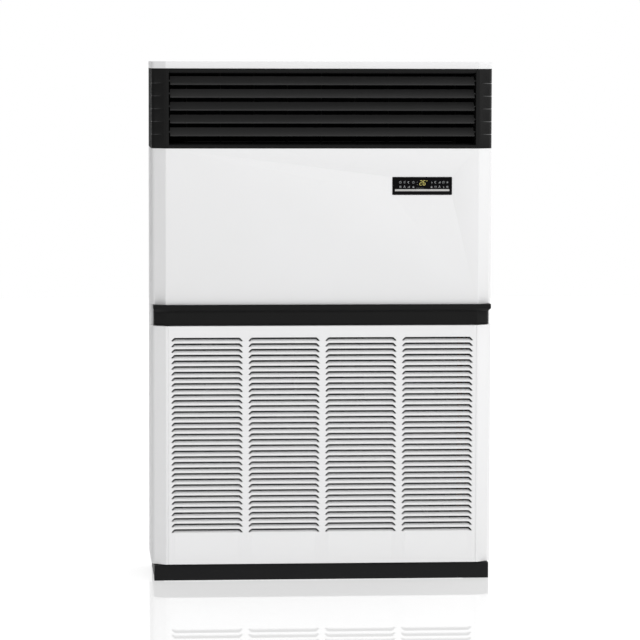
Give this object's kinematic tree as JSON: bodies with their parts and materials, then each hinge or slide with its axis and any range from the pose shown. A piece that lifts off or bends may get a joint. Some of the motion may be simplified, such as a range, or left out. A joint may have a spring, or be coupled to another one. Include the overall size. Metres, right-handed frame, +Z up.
{
  "type": "floor standing air conditioner",
  "caption": "Floor standing cabinet air conditioner with a louvred intake panel, a black ledge, a display and a dark outlet with tilting blades.",
  "frame": {"origin": "on the floor, at the middle of the bounding box", "axes": "+X to the right of someone facing the unit, the front looks along -Y, +Z up"},
  "size_m": [1.215, 0.395, 1.85],
  "materials": {
    "white_paint": "satin",
    "black_moulding": "satin",
    "display_black": "gloss",
    "display_silver": "brushed",
    "bare_steel": "galvanised",
    "link_plastic": "matte",
    "wheel_steel": "galvanised",
    "motor_paint": "satin",
    "fin_metal": "plain",
    "pipe_metal": "drawn copper",
    "hose_plastic": "matte",
    "filter_net": "matte",
    "board_green": "matte",
    "soft_rubber": "matte"
  },
  "bodies": {
    "cabinet": {"top_cover": "white_paint", "upper_panel": "white_paint", "side_panel_left": "white_paint", "side_panel_right": "white_paint", "rear_panel": "white_paint", "mid_band": "black_moulding", "kick_plate": "black_moulding", "outlet_corner_left": "black_moulding", "outlet_corner_right": "black_moulding", "outlet_top_rail": "black_moulding", "outlet_bottom_rail": "black_moulding", "base_channels": "black_moulding", "display_window": "display_black", "display_trim": "display_silver", "cabinet_screws": "bare_steel", "vane_rails": "bare_steel", "inner_bulkhead": "bare_steel", "blower_deck": "bare_steel", "base_pan": "bare_steel", "filter_rack": "bare_steel", "scroll_left": "bare_steel", "scroll_right": "bare_steel", "motor_cradle": "bare_steel", "shaft_bearings": "bare_steel", "control_box": "bare_steel", "terminal_block": "link_plastic", "fan_motor": "motor_paint", "swing_motor": "motor_paint", "evaporator_coil": "fin_metal", "coil_bends": "pipe_metal", "suction_pipe": "pipe_metal", "liquid_pipe": "pipe_metal", "drain_hose": "hose_plastic", "drain_pan": "hose_plastic", "display_board": "board_green", "cable_grommet": "soft_rubber"},
    "blade_1": {"outlet_blade_1": "black_moulding"},
    "blade_2": {"outlet_blade_2": "black_moulding"},
    "blade_3": {"outlet_blade_3": "black_moulding"},
    "blade_4": {"outlet_blade_4": "black_moulding"},
    "blade_5": {"outlet_blade_5": "black_moulding"},
    "blade_link": {"blade_link_rod": "link_plastic"},
    "vane_1": {"guide_vane_1": "black_moulding"},
    "vane_2": {"guide_vane_2": "black_moulding"},
    "vane_3": {"guide_vane_3": "black_moulding"},
    "vane_4": {"guide_vane_4": "black_moulding"},
    "vane_5": {"guide_vane_5": "black_moulding"},
    "vane_6": {"guide_vane_6": "black_moulding"},
    "vane_7": {"guide_vane_7": "black_moulding"},
    "vane_8": {"guide_vane_8": "black_moulding"},
    "vane_9": {"guide_vane_9": "black_moulding"},
    "vane_link": {"vane_link_bar": "link_plastic"},
    "fan_rotor": {"fan_shaft": "bare_steel", "fan_wheel_left": "wheel_steel", "fan_wheel_right": "wheel_steel"},
    "intake_front": {"intake_panel": "white_paint", "intake_wing_left": "white_paint", "intake_wing_right": "white_paint"},
    "filter_left_unit": {"filter_left": "filter_net"},
    "filter_right_unit": {"filter_right": "filter_net"}
  },
  "joints": [
    {"name": "blade_1_tilt", "type": "hinge", "parent": "cabinet", "child": "blade_1", "pos_m": [0, -0.16, 1.7822], "axis": [1, 0, 0], "range_deg": [-45, 25]},
    {"name": "blade_2_tilt", "type": "hinge", "parent": "cabinet", "child": "blade_2", "pos_m": [0, -0.16, 1.7369], "axis": [1, 0, 0], "range_deg": [-45, 25]},
    {"name": "blade_3_tilt", "type": "hinge", "parent": "cabinet", "child": "blade_3", "pos_m": [0, -0.16, 1.6916], "axis": [1, 0, 0], "range_deg": [-45, 25]},
    {"name": "blade_4_tilt", "type": "hinge", "parent": "cabinet", "child": "blade_4", "pos_m": [0, -0.16, 1.6463], "axis": [1, 0, 0], "range_deg": [-45, 25]},
    {"name": "blade_5_tilt", "type": "hinge", "parent": "cabinet", "child": "blade_5", "pos_m": [0, -0.16, 1.601], "axis": [1, 0, 0], "range_deg": [-45, 25]},
    {"name": "blade_link_swing", "type": "hinge", "parent": "blade_3", "child": "blade_link", "pos_m": [0.558, -0.14544, 1.70218], "axis": [1, 0, 0], "range_deg": [-25, 45]},
    {"name": "vane_1_swing", "type": "hinge", "parent": "cabinet", "child": "vane_1", "pos_m": [-0.48, -0.085, 1.69], "axis": [0, 0, 1], "range_deg": [-35, 35]},
    {"name": "vane_2_swing", "type": "hinge", "parent": "cabinet", "child": "vane_2", "pos_m": [-0.36, -0.085, 1.69], "axis": [0, 0, 1], "range_deg": [-35, 35]},
    {"name": "vane_3_swing", "type": "hinge", "parent": "cabinet", "child": "vane_3", "pos_m": [-0.24, -0.085, 1.69], "axis": [0, 0, 1], "range_deg": [-35, 35]},
    {"name": "vane_4_swing", "type": "hinge", "parent": "cabinet", "child": "vane_4", "pos_m": [-0.12, -0.085, 1.69], "axis": [0, 0, 1], "range_deg": [-35, 35]},
    {"name": "vane_5_swing", "type": "hinge", "parent": "cabinet", "child": "vane_5", "pos_m": [0, -0.085, 1.69], "axis": [0, 0, 1], "range_deg": [-35, 35]},
    {"name": "vane_6_swing", "type": "hinge", "parent": "cabinet", "child": "vane_6", "pos_m": [0.12, -0.085, 1.69], "axis": [0, 0, 1], "range_deg": [-35, 35]},
    {"name": "vane_7_swing", "type": "hinge", "parent": "cabinet", "child": "vane_7", "pos_m": [0.24, -0.085, 1.69], "axis": [0, 0, 1], "range_deg": [-35, 35]},
    {"name": "vane_8_swing", "type": "hinge", "parent": "cabinet", "child": "vane_8", "pos_m": [0.36, -0.085, 1.69], "axis": [0, 0, 1], "range_deg": [-35, 35]},
    {"name": "vane_9_swing", "type": "hinge", "parent": "cabinet", "child": "vane_9", "pos_m": [0.48, -0.085, 1.69], "axis": [0, 0, 1], "range_deg": [-35, 35]},
    {"name": "vane_link_swing", "type": "hinge", "parent": "vane_9", "child": "vane_link", "pos_m": [0.48, -0.06, 1.564], "axis": [0, 0, 1], "range_deg": [-35, 35]},
    {"name": "fan_spin", "type": "hinge", "parent": "cabinet", "child": "fan_rotor", "pos_m": [0, 0.015, 0.71], "axis": [1, 0, 0], "continuous": true},
    {"name": "intake_front_pull", "type": "slide", "parent": "cabinet", "child": "intake_front", "axis": [0, -1, 0], "range_m": [0, 0.2]},
    {"name": "filter_left_lift", "type": "slide", "parent": "cabinet", "child": "filter_left_unit", "axis": [0, 0, 1], "range_m": [0, 0.012]},
    {"name": "filter_right_lift", "type": "slide", "parent": "cabinet", "child": "filter_right_unit", "axis": [0, 0, 1], "range_m": [0, 0.012]}
  ],
  "couplings": [
    {"joint": "blade_1_tilt", "follows": "blade_3_tilt", "ratio": 1},
    {"joint": "blade_2_tilt", "follows": "blade_3_tilt", "ratio": 1},
    {"joint": "blade_4_tilt", "follows": "blade_3_tilt", "ratio": 1},
    {"joint": "blade_5_tilt", "follows": "blade_3_tilt", "ratio": 1},
    {"joint": "blade_link_swing", "follows": "blade_3_tilt", "ratio": -1},
    {"joint": "vane_1_swing", "follows": "vane_9_swing", "ratio": 1},
    {"joint": "vane_2_swing", "follows": "vane_9_swing", "ratio": 1},
    {"joint": "vane_3_swing", "follows": "vane_9_swing", "ratio": 1},
    {"joint": "vane_4_swing", "follows": "vane_9_swing", "ratio": 1},
    {"joint": "vane_5_swing", "follows": "vane_9_swing", "ratio": 1},
    {"joint": "vane_6_swing", "follows": "vane_9_swing", "ratio": 1},
    {"joint": "vane_7_swing", "follows": "vane_9_swing", "ratio": 1},
    {"joint": "vane_8_swing", "follows": "vane_9_swing", "ratio": 1},
    {"joint": "vane_link_swing", "follows": "vane_9_swing", "ratio": -1}
  ]
}
